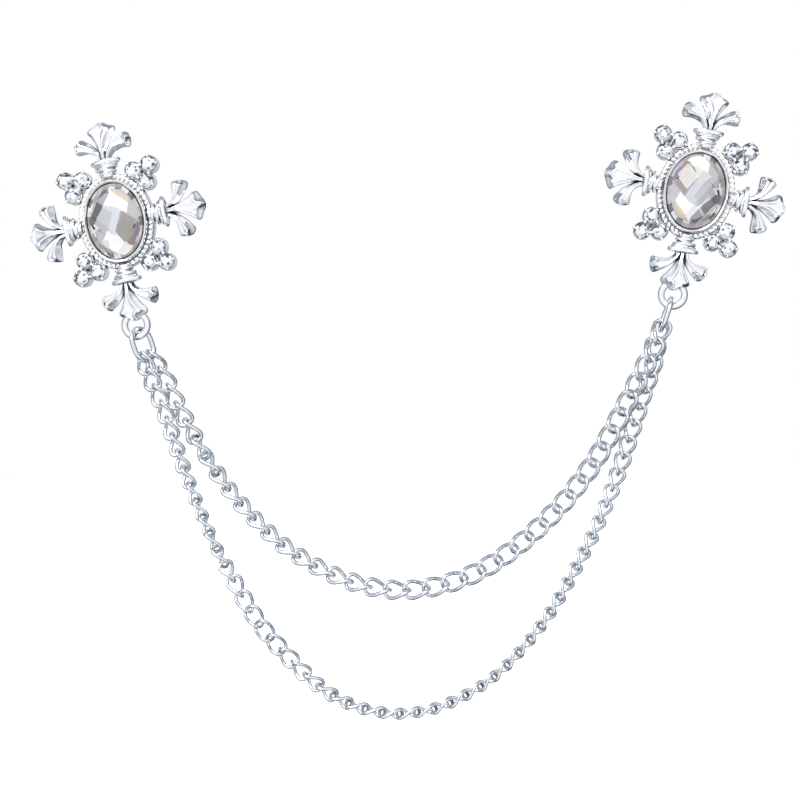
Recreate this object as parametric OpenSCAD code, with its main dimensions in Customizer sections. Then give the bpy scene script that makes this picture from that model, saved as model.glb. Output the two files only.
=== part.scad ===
// Lapel chain: two jewelled cross brooches joined by two swagged curb chains.
// Millimetres, +Z up, the fronts face -Y. The origin is where the left brooch pins on.

/* [Crystal] */
// Width of the oval crystal
crystal_w = 12; // [10:0.1:13]
// Length of the oval crystal
crystal_l = 16; // [14:0.1:18]
// Height of the faceted dome over the girdle
crystal_dome = 2.7; // [1.5:0.1:4]
// Thickness of the girdle
crystal_girdle = 0.4; // [0.2:0.05:0.6]
// Depth of the crystal below its girdle
crystal_depth = 1.2; // [0.8:0.05:1.6]

/* [Bezel and border] */
// Thickness of the back plate under the crystal
plate_t = 1.1; // [0.8:0.05:1.6]
// Wall of the bezel round the crystal
bezel_wall = 0.8; // [0.5:0.05:1.2]
// Width of the beaded border outside the bezel
border_w = 1.3; // [1:0.05:2]
// Thickness of the beaded border
border_t = 1.9; // [1.4:0.05:2.4]
// Diameter of a border bead
bead_d = 0.95; // [0.7:0.05:1]
// Clearance between a stone and its seat
fit_gap = 0.08; // [0.05:0.01:0.15]

/* [Clusters] */
// Diameter of a cluster stone
stone_d = 3.2; // [2.8:0.1:3.6]
// Height of a stone's crown over its girdle
stone_crown = 0.55; // [0.3:0.05:0.8]
// Depth of a stone below its girdle
stone_depth = 1.1; // [0.8:0.05:1.4]
// Wall of a stone cup
cup_wall = 0.2; // [0.15:0.05:0.4]
// Height of a stone cup
cup_h = 2.9; // [2.4:0.1:3.6]
// Diameter of a prong bead
prong_d = 0.8; // [0.6:0.05:0.9]

/* [Arms] */
// Radius of the wound neck at the border
neck_r = 1.6; // [1.2:0.05:2]
// Length of the wound neck
neck_l = 2.9; // [2.4:0.1:3.4]
// Windings on the neck
neck_turns = 4; // [3:1:5]
// How much wider the neck is at the collar
neck_flare = 0.6; // [0.3:0.05:0.9]
// Width of the collar
collar_w = 6.6; // [5.6:0.1:7.2]
// Height of the collar
collar_h = 3.7; // [3:0.1:4.2]
// Thickness of the collar
collar_t = 0.7; // [0.5:0.05:1]
// Slant of the collar
collar_slant = 3; // [0:0.5:9]
// Length of the petals past the neck
petal_l = 8; // [6.5:0.1:9]
// Width of the middle petal at its end
petal_w = 5.6; // [4.5:0.1:6]
// Reach of a side petal to the side
side_reach = 5.85; // [5:0.05:6.4]
// Width of a side petal at its end
side_w = 3; // [2.2:0.1:3.4]
// Thickness of a petal
petal_t = 1.4; // [1:0.05:1.8]

/* [Eye and connector] */
// Outer diameter of the eye ring
eye_d = 6.4; // [6:0.1:7.2]
// Wire of the eye ring
eye_wire = 1.5; // [1.2:0.05:1.6]
// How far the eye ring tucks behind the petal
eye_tuck = 2.1; // [1.7:0.05:2.3]
// Outer length of a connector ring
connector_l = 8.1; // [7.6:0.1:9]
// Outer width of a connector ring
connector_w = 6.4; // [6:0.1:6.8]
// Wire of a connector ring
connector_wire = 1.1; // [0.9:0.05:1.2]

/* [Chains] */
// Step of the short chain's links
short_step = 4.2; // [3.8:0.05:4.6]
// Outer width of the short chain's links
short_w = 4.45; // [4.2:0.05:4.7]
// Wire of the short chain
short_wire = 0.9; // [0.75:0.05:0.95]
// Step of the long chain's links
long_step = 3.7; // [3.4:0.05:4.1]
// Outer width of the long chain's links
long_w = 4; // [3.7:0.05:4.2]
// Wire of the long chain
long_wire = 0.8; // [0.65:0.05:0.85]
// Clearance between linked rings
link_gap = 0.28; // [0.24:0.01:0.35]
// Clearance between an end link and the connector that it hangs on
end_gap = 0.7; // [0.5:0.05:0.8]

/* [Posts] */
// Diameter of a tack post
post_d = 1.1; // [0.9:0.05:1.3]
// Straight length of a tack post
post_l = 8; // [6:0.5:10]
// Diameter of a post's solder pad
pad_d = 6; // [4:0.5:8]
// Thickness of a post's solder pad
pad_t = 0.6; // [0.4:0.1:1]

/* [Placing] */
// How far to the right of the left brooch the right one is
span = 121.7; // [118:0.1:126]
// How far above the left brooch the right one is
rise = 6.3; // [3:0.1:9]
// Roll of the left brooch, anticlockwise from the front
left_roll = 10.5; // [5:0.5:15]
// Roll of the right brooch
right_roll = -12.3; // [-15:0.1:-5]
// Turn of the left brooch's front about the upright
left_yaw = -9; // [-15:1:0]
// Turn of the right brooch's front about the upright
right_yaw = -3; // [-8:1:4]
// Slant of the hanging connectors
hang = 19; // [12:1:26]

/* [Hidden] */
SIDES = ["left", "right"];
STONES = 12;

$fn = 32;
OVAL_SIDES = 72;
SILVER = "silver";

// The bezel's inside and outside and the border's edge, as half axes of ovals
seat_a = crystal_w / 2 + fit_gap;
seat_b = crystal_l / 2 + fit_gap;
bezel_a = seat_a + bezel_wall;
bezel_b = seat_b + bezel_wall;
border_a = bezel_a + border_w;
border_b = bezel_b + border_w;
girdle_z = plate_t + fit_gap + crystal_depth;
bezel_lip = 0.5;
bezel_h = girdle_z + crystal_girdle + bezel_lip;
bead_apart = 0.15;

// The checkerboard cut: square facets turned on the oval, sizes as shares of its half axes
facet_cell = 0.5;
facet_turn = 52;
facet_reach = 0.9;
crystal_back = 0.7;
GIRDLE_SIDES = 32;
BACK_SIDES = 16;

// The round stones' cut
table_share = 0.58;
stone_girdle = 0.12;
TABLE_SIDES = 8;
STONE_SIDES = 16;

// The cups stand round the border's edge in threes
cup_d = stone_d + 2 * (fit_gap + cup_wall);
cup_bite = 0.15;
cup_step = cup_d - cup_bite;
cup_a = border_a + cup_d / 2 - cup_bite;
cup_b = border_b + cup_d / 2 - cup_bite;
cluster_angle = 45.5;
cup_spread = asin(cup_step / (2 * sqrt(cup_a * cup_b)));
web_t = 1.3;
stone_drop = 0.3;
stone_z = cup_h - stone_drop;
stone_back = stone_z - stone_depth - fit_gap;
crotch = 1.1;

// Heights in an arm, and how far its neck runs into the border
neck_lift = 0.2;
neck_z = neck_r + neck_lift;
neck_sink = 0.15;
winding_r = neck_l / neck_turns / 2;
winding_bite = 0.4;
collar_lap = 0.5;
collar_core = [0.8, 0.92];
COLLAR_SIDES = 40;
petal_lift = 0.2;
petal_z = neck_z - petal_t / 2 + petal_lift;

// Middle petal, one row a section: [share of petal_l, share of petal_w / 2]
MIDDLE_PETAL = [[0, 0.3], [0.14, 0.24], [0.27, 0.31], [0.4, 0.42], [0.53, 0.57],
    [0.66, 0.77], [0.75, 0.95], [0.8, 1], [0.84, 0.9], [0.9, 0.62], [0.94, 0.4],
    [0.95, 0.3], [1, 0.05]];
// Side petal, one row a section: [share of petal_l, share of side_reach, share of side_w / 2]
SIDE_PETAL = [[0, 0.13, 0.32], [0.12, 0.18, 0.33], [0.21, 0.26, 0.37], [0.29, 0.37, 0.44],
    [0.35, 0.51, 0.56], [0.395, 0.66, 0.74], [0.43, 0.8, 0.93], [0.447, 0.88, 1],
    [0.46, 0.93, 0.8], [0.468, 0.97, 0.35]];
// Arch of the petals, one row a section: [share of petal_l, rise as a share of petal_t]
ARCH = [[-0.05, 0.1], [0.1, 0.25], [0.3, 0.5], [0.5, 0.45], [0.7, 0.2], [0.85, 0],
    [1.05, -0.1]];

// The eye ring behind the bottom petal's end
eye_r = (eye_d - eye_wire) / 2;
eye_y = -(border_b + neck_l + petal_l - eye_tuck + eye_d / 2);
eye_lift = 0.05;
eye_z = eye_wire / 2 + eye_lift;

// A connector's middle line: half width, and length between the middles of its end wires
connector_r = (connector_w - connector_wire) / 2;
connector_reach = connector_l - connector_wire;
connector_drop = eye_r - (eye_wire + connector_wire) / 2 - link_gap;
left_turn = 50;
right_turn = 90;
strand_apart = 1.25;

// The end of a post's point
post_tip = 0.2;

// Middle lines of the links: length, width and twist
short_link_l = short_step + short_wire + link_gap;
short_link_w = short_w - short_wire;
long_link_l = long_step + long_wire + link_gap;
long_link_w = long_w - long_wire;
link_twist = -0.28;
LINK_SIDES = 12;
WIRE_SIDES = 5;

// The route of each chain between its connectors, chosen points [x, z]
ROUTES = [
    // The short chain
    [[10, -33.6], [11.9, -37.7], [14.4, -42.3], [19.3, -50.8], [25.8, -59.4], [34.1, -67.6],
        [42.7, -73.1], [51.1, -76.4], [59.5, -77.6], [67.9, -76.6], [76.3, -73.5],
        [84.8, -67.8], [93.3, -59.7], [99.6, -51.6], [103.7, -44.6], [108, -36.4],
        [111.6, -29]],
    // The long chain
    [[7.6, -34.2], [9.7, -39.1], [12.5, -47.7], [15.6, -56.3], [19.7, -66.3],
        [24, -74.8], [29.9, -84.7], [36.3, -92.1], [42.4, -97.8], [48.9, -101.6],
        [55.3, -103.3], [59.5, -103.6], [65.8, -102.8], [72.2, -100.3], [78.8, -96.2],
        [85.1, -90.1], [91.5, -81.8], [97.9, -70.5], [102, -62], [105.7, -52.4],
        [109, -42.2], [111.2, -35.4], [113.2, -29.6]]];
// How far the strands spread past their hold on a connector: [distance, spread], millimetres
SPREAD = [[0, 0], [5, 0.8], [20, 0.3], [45, 0]];
// Roll of the links about the route: [share of the route, degrees]
SHORT_ROLL = [[0, -25], [0.05, -38], [0.1, -52], [0.12, -62], [0.15, -90], [0.18, -110],
    [0.3, -112], [0.38, -118], [0.43, -128], [0.5, -150], [0.58, -172], [0.66, -180],
    [0.9, -180], [1, -215]];
LONG_ROLL = [[0, -20], [0.04, -32], [0.08, -50], [0.12, -62], [0.17, -72], [0.2, -80],
    [0.22, -94], [0.25, -130], [0.27, -150], [0.3, -168], [0.34, -195], [0.38, -232],
    [0.42, -250], [0.48, -264], [0.55, -268], [0.66, -255], [0.72, -248], [0.79, -242],
    [0.85, -215], [0.9, -200], [1, -180]];
ROUTE_STEPS = 6;

// An oval of points
function oval(a, b, sides = OVAL_SIDES) =
    [for (i = [0:sides - 1]) [a * cos(360 * i / sides), b * sin(360 * i / sides)]];

// Running lengths along a line of points
function running(points, i = 0, sum = 0) =
    i == len(points) - 1 ? [sum]
    : concat([sum], running(points, i + 1, sum + norm(points[i + 1] - points[i])));

// The point at a length along a line whose running lengths are known
function point_at(points, lengths, s) =
    [for (axis = [0:len(points[0]) - 1])
        lookup(s, [for (i = [0:len(points) - 1]) [lengths[i], points[i][axis]]])];

// A smooth line through chosen points
function curve(a, b, c, d, t) =
    0.5 * (2 * b + (c - a) * t + (2 * a - 5 * b + 4 * c - d) * t * t
        + (3 * b - a - 3 * c + d) * t * t * t);
function smooth(p) = concat(
    [for (i = [0:len(p) - 2]) for (k = [0:ROUTE_STEPS - 1])
        curve(p[max(i - 1, 0)], p[i], p[i + 1], p[min(i + 2, len(p) - 1)], k / ROUTE_STEPS)],
    [p[len(p) - 1]]);

function unit(v) = v / norm(v);
function row_at(table, s, column = 1) =
    lookup(s, [for (row = table) [row[0], row[column]]]);

// Turns about the axes, for working out where rings hang
function turn_x(v, a) = [v[0], v[1] * cos(a) - v[2] * sin(a), v[1] * sin(a) + v[2] * cos(a)];
function turn_y(v, a) = [v[0] * cos(a) + v[2] * sin(a), v[1], v[2] * cos(a) - v[0] * sin(a)];
function turn_z(v, a) = [v[0] * cos(a) - v[1] * sin(a), v[0] * sin(a) + v[1] * cos(a), v[2]];

function is_left(side) = side == "left";
function roll_of(side) = is_left(side) ? left_roll : right_roll;
function yaw_of(side) = is_left(side) ? left_yaw : right_yaw;
function base_of(side) = is_left(side) ? [0, 0, 0] : [span, 0, rise];
function hang_of(side) = is_left(side) ? -hang : hang;
function turn_of(side) = is_left(side) ? left_turn : right_turn;

// The middle of a brooch's eye ring in the whole object's frame
function eye_of(side) = base_of(side)
    + turn_z(turn_x(turn_z([0, eye_y, eye_z], roll_of(side)), 90), yaw_of(side));

// A point on the lower bend of a connector, off its middle by a distance along the wire
function bend_of(side, off) = eye_of(side) + turn_y(
    [0, 0, -connector_drop] + turn_z([off, 0, connector_r - connector_reach
        - sqrt(connector_r * connector_r - off * off)], turn_of(side)), hang_of(side));

// A chain's whole route in space: the bends that hold it and its points between them. It runs
// behind the other strand at its start and in front of it at its end, or the other way round.
function route(index, from, to, behind) =
    let (line = ROUTES[index],
        flat = concat([[from[0], from[2]]], line, [[to[0], to[2]]]),
        way = smooth(flat),
        lengths = running(way),
        whole = lengths[len(lengths) - 1])
    [for (i = [0:len(way) - 1])
        let (spread = lookup(lengths[i], SPREAD) - lookup(whole - lengths[i], SPREAD))
        [way[i][0], from[1] + (to[1] - from[1]) * lengths[i] / whole + behind * spread,
            way[i][1]]];

// The frames of a chain's links: [middle, direction, face] of each
function frames(way, step, length, wire, rolls) =
    let (lengths = running(way),
        whole = lengths[len(lengths) - 1],
        lead = length / 2 - (wire + connector_wire) / 2 - end_gap,
        steps = ceil((whole - 2 * lead) / step),
        pace = (whole - 2 * lead) / steps)
    [for (i = [0:steps])
        let (s = lead + i * pace,
            ahead = unit(point_at(way, lengths, min(s + step / 2, whole))
                - point_at(way, lengths, max(s - step / 2, 0))),
            level = unit(cross([0, -1, 0], ahead)),
            front = cross(ahead, level),
            roll = row_at(rolls, s / whole))
        [point_at(way, lengths, s), ahead, front * cos(roll) + level * sin(roll)]];

// The middle line of a curb link, and a ring of points round it
function link_point(l, w, t) = [l / 2 * cos(t), w / 2 * sin(t), link_twist * w * sin(2 * t)];
function link_points(l, w, wire) =
    [for (i = [0:LINK_SIDES - 1])
        let (t = 360 * i / LINK_SIDES,
            step = 360 / LINK_SIDES,
            middle = link_point(l, w, t),
            along = unit(link_point(l, w, t + step) - link_point(l, w, t - step)),
            out = unit(middle - along * (middle * along)),
            up = cross(along, out))
        for (k = [0:WIRE_SIDES - 1])
            let (a = 360 * k / WIRE_SIDES)
            middle + wire / 2 * (out * cos(a) + up * sin(a))];
function link_faces() =
    [for (i = [0:LINK_SIDES - 1]) for (k = [0:WIRE_SIDES - 1])
        let (j = (i + 1) % LINK_SIDES,
            m = (k + 1) % WIRE_SIDES,
            a = i * WIRE_SIDES + k,
            b = i * WIRE_SIDES + m,
            c = j * WIRE_SIDES + m,
            d = j * WIRE_SIDES + k)
        for (face = [[a, b, c], [a, c, d]]) face];

// The middles of the three cups of the first quarter's cluster
function cup_ring(angle) = [cup_a * cos(angle), cup_b * sin(angle)];
function cluster() =
    let (p = cup_ring(cluster_angle - cup_spread),
        q = cup_ring(cluster_angle + cup_spread),
        half = (q - p) / 2,
        out = unit([half[1], -half[0]]))
    [p, q, (p + q) / 2 + out * sqrt(cup_step * cup_step - half * half)];
QUARTERS = [[1, 1], [-1, 1], [-1, -1], [1, -1]];
CUPS = [for (quarter = QUARTERS) for (cup = cluster())
    [cup[0] * quarter[0], cup[1] * quarter[1]]];

module at_side(side) {
    translate(base_of(side)) rotate([90, 0, yaw_of(side)]) rotate([0, 0, roll_of(side)])
        children();
}

module oval_disc(a, b, z0, z1) {
    translate([0, 0, z0]) linear_extrude(z1 - z0) polygon(oval(a, b));
}

// The border's beads, evenly spaced round the oval
module border_beads() {
    line = oval(bezel_a + border_w / 2, bezel_b + border_w / 2);
    loop = concat(line, [line[0]]);
    lengths = running(loop);
    whole = lengths[len(lengths) - 1];
    count = floor(whole / (bead_d + bead_apart));
    for (i = [0:count - 1]) {
        p = point_at(loop, lengths, whole * (i + 0.5) / count);
        translate([p[0], p[1], border_t]) sphere(d = bead_d);
    }
}

// The plate that joins a cluster's cups to the border
function root_of(cup) = cup - unit(cup) * (cup_d / 2 + border_w);
module cluster_web(cups) {
    linear_extrude(web_t)
        polygon([cups[0], cups[2], cups[1], root_of(cups[1]), root_of(cups[0])]);
}

// A round-topped prong, standing on the back plane
module prong() {
    r = prong_d / 2;
    rotate_extrude() polygon(concat([[0, 0], [r, 0]],
        [for (a = [0:22.5:67.5]) [r * cos(a), cup_h + r * sin(a)]], [[0, cup_h + r]]));
}

module cluster_prongs(cups) {
    middle = (cups[0] + cups[1] + cups[2]) / 3;
    places = concat([middle], [for (i = [0:2])
        let (half = (cups[i] + cups[(i + 1) % 3]) / 2)
        half + unit(half - middle) * crotch]);
    for (p = places) translate(p) prong();
}

module clusters() {
    cups = cluster();
    for (quarter = QUARTERS) scale([quarter[0], quarter[1], 1]) {
        cluster_web(cups);
        cluster_prongs(cups);
    }
    for (cup = CUPS) translate(cup) cylinder(d = cup_d, h = cup_h);
}

// The neck's outline to spin: a row of round windings that widen to the collar
module neck() {
    outline = concat([[0, -neck_sink], [neck_r, -neck_sink]],
        [for (i = [0:neck_turns - 1]) for (a = [-60:30:60])
            [neck_r + neck_flare * i / neck_turns + winding_r * (cos(a) - winding_bite),
                winding_r * (2 * i + 1 + sin(a))]],
        [[neck_r, neck_l], [0, neck_l]]);
    translate([0, 0, neck_z]) rotate([-90, 0, 0]) rotate_extrude() polygon(outline);
}

module collar() {
    translate([0, neck_l - collar_lap, neck_z]) rotate([-90, 0, collar_slant]) {
        linear_extrude(collar_t) polygon(oval(collar_w / 2, collar_h / 2, COLLAR_SIDES));
        translate([0, 0, -collar_t]) linear_extrude(3 * collar_t) polygon(
            oval(collar_core[0] * collar_w / 2, collar_core[1] * collar_h / 2, COLLAR_SIDES));
    }
}

module middle_petal() {
    right = [for (row = MIDDLE_PETAL) [row[1] * petal_w / 2, row[0] * petal_l]];
    left = [for (i = [len(right) - 1:-1:0]) [-right[i][0], right[i][1]]];
    polygon(concat(right, left));
}

module side_petal() {
    line = [for (row = SIDE_PETAL) [row[1] * side_reach, row[0] * petal_l]];
    last = len(line) - 1;
    across = [for (i = [0:last])
        let (along = unit(line[min(i + 1, last)] - line[max(i - 1, 0)]))
        [along[1], -along[0]] * SIDE_PETAL[i][2] * side_w / 2];
    polygon(concat([for (i = [0:last]) line[i] + across[i]],
        [for (i = [last:-1:0]) line[i] - across[i]]));
}

// The petals' thickness, arched along the arm, as an upright slab across it
module petal_arch() {
    top = [for (row = ARCH) [row[0] * petal_l, petal_t * (1 + row[1])]];
    bottom = [for (i = [len(ARCH) - 1:-1:0]) [ARCH[i][0] * petal_l, petal_t * ARCH[i][1]]];
    rotate([90, 0, 90]) linear_extrude(2 * side_reach + side_w, center = true)
        polygon(concat(top, bottom));
}

module petals() {
    translate([0, neck_l, petal_z]) {
        intersection() {
            linear_extrude(4 * petal_t, center = true) middle_petal();
            petal_arch();
        }
        for (hand = [-1, 1]) intersection() {
            scale([hand, 1, 1]) linear_extrude(4 * petal_t, center = true) side_petal();
            petal_arch();
        }
    }
}

module arm() {
    neck();
    collar();
    petals();
}

module arms() {
    for (end = [0, 180]) {
        rotate([0, 0, end]) translate([0, border_b, 0]) arm();
        rotate([0, 0, end + 90]) translate([0, border_a, 0]) arm();
    }
}

module eye() {
    translate([0, eye_y, eye_z]) rotate_extrude() translate([eye_r, 0]) circle(d = eye_wire);
}

module setting() {
    reach = 2 * (border_b + neck_l + petal_l);
    difference() {
        union() {
            oval_disc(border_a, border_b, 0, border_t);
            oval_disc(bezel_a, bezel_b, 0, bezel_h);
            border_beads();
            clusters();
            intersection() {
                arms();
                translate([-reach / 2, -reach / 2, 0]) cube([reach, reach, reach]);
            }
            eye();
        }
        oval_disc(seat_a, seat_b, plate_t, 2 * bezel_h);
        for (cup = CUPS) translate([cup[0], cup[1], stone_back])
            cylinder(d = stone_d + 2 * fit_gap, h = cup_h);
    }
}

// The crystal: flat turned squares on a dome, a girdle and a smaller flat back
module crystal() {
    a = crystal_w / 2;
    b = crystal_l / 2;
    cells = ceil(1 / facet_cell) + 1;
    spots = [for (i = [-cells:cells]) for (j = [-cells:cells])
        turn_z([(i + 0.5) * facet_cell, (j + 0.5) * facet_cell, 0], facet_turn)];
    points = concat(
        [for (p = spots) if (norm(p) < facet_reach)
            [a * p[0], b * p[1], crystal_girdle + crystal_dome * (1 - p * p)]],
        [for (p = oval(a, b, GIRDLE_SIDES)) for (z = [0, crystal_girdle]) [p[0], p[1], z]],
        [for (p = oval(a * crystal_back, b * crystal_back, BACK_SIDES))
            [p[0], p[1], -crystal_depth]]);
    translate([0, 0, girdle_z]) hull() polyhedron(points, [[for (i = [0:len(points) - 1]) i]]);
}

// A round brilliant: table, crown, girdle and pavilion
module stone() {
    r = stone_d / 2;
    table_r = table_share * r;
    points = concat(
        [for (p = oval(table_r, table_r, TABLE_SIDES)) [p[0], p[1], stone_crown]],
        [for (p = oval(r, r, STONE_SIDES)) for (z = [0, stone_girdle]) [p[0], p[1], z]],
        [[0, 0, -stone_depth]]);
    hull() polyhedron(points, [[for (i = [0:len(points) - 1]) i]]);
}

// A tack post: its solder pad, its straight shaft and its point, spun as one outline
module post() {
    translate([0, 0, -fit_gap]) rotate_extrude() polygon([[0, 0], [pad_d / 2, 0],
        [pad_d / 2, -pad_t], [post_d / 2, -pad_t], [post_d / 2, -pad_t - post_l],
        [post_tip / 2, -pad_t - post_l - post_d], [0, -pad_t - post_l - post_d]]);
}

// A stadium ring hanging from the origin, its width along X
module connector() {
    straight = connector_reach - 2 * connector_r;
    translate([0, 0, -connector_r]) rotate([90, 0, 0]) {
        rotate_extrude(angle = 180) translate([connector_r, 0]) circle(d = connector_wire);
        translate([0, -straight, 0]) rotate([0, 0, 180]) rotate_extrude(angle = 180)
            translate([connector_r, 0]) circle(d = connector_wire);
        for (hand = [-1, 1]) translate([hand * connector_r, 0, 0]) rotate([90, 0, 0])
            cylinder(d = connector_wire, h = straight);
    }
}

module chain(links, length, width, wire) {
    for (link = links) {
        across = cross(link[2], link[1]);
        multmatrix([[link[1][0], across[0], link[2][0], link[0][0]],
            [link[1][1], across[1], link[2][1], link[0][1]],
            [link[1][2], across[2], link[2][2], link[0][2]],
            [0, 0, 0, 1]])
            polyhedron(link_points(length, width, wire), link_faces());
    }
}

function short_links() = frames(
    route(0, bend_of("left", strand_apart), bend_of("right", -strand_apart), 1),
    short_step, short_link_l, short_wire, SHORT_ROLL);
function long_links() = frames(
    route(1, bend_of("left", -strand_apart), bend_of("right", strand_apart), -1),
    long_step, long_link_l, long_wire, LONG_ROLL);

module side_setting(side) {
    color(SILVER) at_side(side) setting();
}

module side_crystal(side) {
    color([0.85, 0.88, 0.92]) at_side(side) crystal();
}

module side_stone(side, index) {
    cup = CUPS[index];
    color([0.93, 0.95, 0.98]) at_side(side) translate([cup[0], cup[1], stone_z]) stone();
}

module side_post(side) {
    color("gainsboro") at_side(side) post();
}

module side_connector(side) {
    color(SILVER) translate(eye_of(side)) rotate([0, hang_of(side), 0])
        translate([0, 0, -connector_drop]) rotate([0, 0, turn_of(side)]) connector();
}

module short_chain() {
    color(SILVER) chain(short_links(), short_link_l, short_link_w, short_wire);
}

module long_chain() {
    color(SILVER) chain(long_links(), long_link_l, long_link_w, long_wire);
}

for (side = SIDES) {
    side_setting(side);
    side_crystal(side);
    for (i = [1:STONES])
        side_stone(side, i - 1);
    side_post(side);
    side_connector(side);
}
short_chain();
long_chain();
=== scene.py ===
"""The looks of the lapel chain: two jewelled cross brooches and two swagged curb chains."""

import math
import random

import bmesh
import bpy
from mathutils import Matrix, Vector


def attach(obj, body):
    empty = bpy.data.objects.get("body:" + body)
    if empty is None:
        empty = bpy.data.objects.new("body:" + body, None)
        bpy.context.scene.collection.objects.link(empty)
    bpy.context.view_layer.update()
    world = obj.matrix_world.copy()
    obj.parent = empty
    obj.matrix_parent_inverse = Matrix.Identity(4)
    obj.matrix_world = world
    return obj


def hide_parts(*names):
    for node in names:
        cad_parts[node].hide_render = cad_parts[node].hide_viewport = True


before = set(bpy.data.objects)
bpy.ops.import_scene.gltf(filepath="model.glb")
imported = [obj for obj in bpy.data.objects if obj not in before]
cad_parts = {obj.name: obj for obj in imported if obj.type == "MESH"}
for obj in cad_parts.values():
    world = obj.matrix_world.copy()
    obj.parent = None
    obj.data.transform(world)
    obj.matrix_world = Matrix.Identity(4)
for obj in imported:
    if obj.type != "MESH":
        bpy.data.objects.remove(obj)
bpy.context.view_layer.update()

MM = 0.001
SIDES = ("left", "right")

# Sizes in mm and angles in degrees, as in part.scad
CRYSTAL_A, CRYSTAL_B = 6.0, 8.0
FIT_GAP = 0.08
PLATE_T = 1.1
BEZEL_WALL, BEZEL_H = 0.8, 3.28
BORDER_W = 1.3
SEAT_A, SEAT_B = CRYSTAL_A + FIT_GAP, CRYSTAL_B + FIT_GAP
BORDER_A, BORDER_B = SEAT_A + BEZEL_WALL + BORDER_W, SEAT_B + BEZEL_WALL + BORDER_W
GIRDLE_Z, GIRDLE_H, DOME = 2.38, 0.4, 2.7
CUP_D, CUP_STEP, CUP_BITE, CLUSTER_TURN = 3.76, 3.61, 0.15, 45.5
STONE_R, STONE_Z = 1.6, 2.6
NECK_R, NECK_L, NECK_Z = 1.6, 2.9, 1.8
COLLAR_W, COLLAR_H, COLLAR_LAP, COLLAR_SLANT = 6.6, 3.7, 0.5, 3
PETAL_L, PETAL_W, PETAL_T, PETAL_LIFT = 8.0, 5.6, 1.4, 0.2
SIDE_REACH, SIDE_W = 5.85, 3.0
PETAL_Z = NECK_Z - PETAL_T / 2 + PETAL_LIFT
EYE_D, EYE_WIRE, EYE_TUCK, EYE_LIFT = 6.4, 1.5, 2.1, 0.05
EYE_R = (EYE_D - EYE_WIRE) / 2
EYE_Y = -(BORDER_B + NECK_L + PETAL_L - EYE_TUCK + EYE_D / 2)
EYE_Z = EYE_WIRE / 2 + EYE_LIFT
CONNECTOR_W, CONNECTOR_L, CONNECTOR_WIRE = 6.4, 8.1, 1.1
CONNECTOR_R = (CONNECTOR_W - CONNECTOR_WIRE) / 2
CONNECTOR_REACH = CONNECTOR_L - CONNECTOR_WIRE
LINK_GAP, END_GAP = 0.28, 0.7
CONNECTOR_DROP = EYE_R - (EYE_WIRE + CONNECTOR_WIRE) / 2 - LINK_GAP
STRAND_APART = 1.25
LINK_TWIST = -0.28
SPAN, RISE = 121.7, 6.3
ROLL = {"left": 10.5, "right": -12.3}
YAW = {"left": -9, "right": -3}
HANG = {"left": -19, "right": 19}
TURN = {"left": 50, "right": 90}
POST_D, POST_L, PAD_D, PAD_T = 1.1, 8.0, 6.0, 0.6

# Points on each chain's way from connector to connector: x, z
ROUTES = (
    ((10, -33.6), (11.9, -37.7), (14.4, -42.3), (19.3, -50.8), (25.8, -59.4), (34.1, -67.6),
     (42.7, -73.1), (51.1, -76.4), (59.5, -77.6), (67.9, -76.6), (76.3, -73.5),
     (84.8, -67.8), (93.3, -59.7), (99.6, -51.6), (103.7, -44.6), (108, -36.4), (111.6, -29)),
    ((7.6, -34.2), (9.7, -39.1), (12.5, -47.7), (15.6, -56.3), (19.7, -66.3), (24, -74.8),
     (29.9, -84.7), (36.3, -92.1), (42.4, -97.8), (48.9, -101.6), (55.3, -103.3),
     (59.5, -103.6), (65.8, -102.8), (72.2, -100.3), (78.8, -96.2), (85.1, -90.1),
     (91.5, -81.8), (97.9, -70.5), (102, -62), (105.7, -52.4), (109, -42.2),
     (111.2, -35.4), (113.2, -29.6)))
# How far a chain is pushed from front to back, by the way from its end; its two ends are pushed
# opposite ways
SPREAD = ((0, 0), (5, 0.8), (20, 0.3), (45, 0))
# Each chain's roll by share of its length
ROLLS = (
    ((0, -25), (0.05, -38), (0.1, -52), (0.12, -62), (0.15, -90), (0.18, -110), (0.3, -112),
     (0.38, -118), (0.43, -128), (0.5, -150), (0.58, -172), (0.66, -180), (0.9, -180),
     (1, -215)),
    ((0, -20), (0.04, -32), (0.08, -50), (0.12, -62), (0.17, -72), (0.2, -80), (0.22, -94),
     (0.25, -130), (0.27, -150), (0.3, -168), (0.34, -195), (0.38, -232), (0.42, -250),
     (0.48, -264), (0.55, -268), (0.66, -255), (0.72, -248), (0.79, -242), (0.85, -215),
     (0.9, -200), (1, -180)))
# Of each chain: step, outer width and wire
CHAINS = ((4.2, 4.45, 0.9), (3.7, 4.0, 0.8))
ROUTE_STEPS = 6

# Middle petal: share of its length, share of its half width
MIDDLE_PETAL = ((0, 0.3), (0.14, 0.25), (0.27, 0.31), (0.4, 0.42), (0.53, 0.57), (0.66, 0.77),
                (0.745, 0.94), (0.79, 1.0), (0.83, 0.97), (0.865, 0.82), (0.895, 0.64),
                (0.92, 0.48), (0.95, 0.35), (0.98, 0.22), (1.0, 0.0))
# Side petal: share of the petals' length, share of the reach, share of its half width
SIDE_PETAL = ((0, 0.13, 0.34), (0.12, 0.18, 0.34), (0.21, 0.26, 0.37), (0.29, 0.37, 0.44),
              (0.35, 0.51, 0.57), (0.395, 0.66, 0.76), (0.43, 0.8, 0.95), (0.447, 0.87, 1.0),
              (0.458, 0.92, 0.9), (0.466, 0.965, 0.55), (0.47, 0.99, 0.0))
ARCH = ((-0.05, 0.1), (0.1, 0.25), (0.3, 0.5), (0.5, 0.45), (0.7, 0.2), (0.85, 0), (1.05, -0.1))
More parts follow.
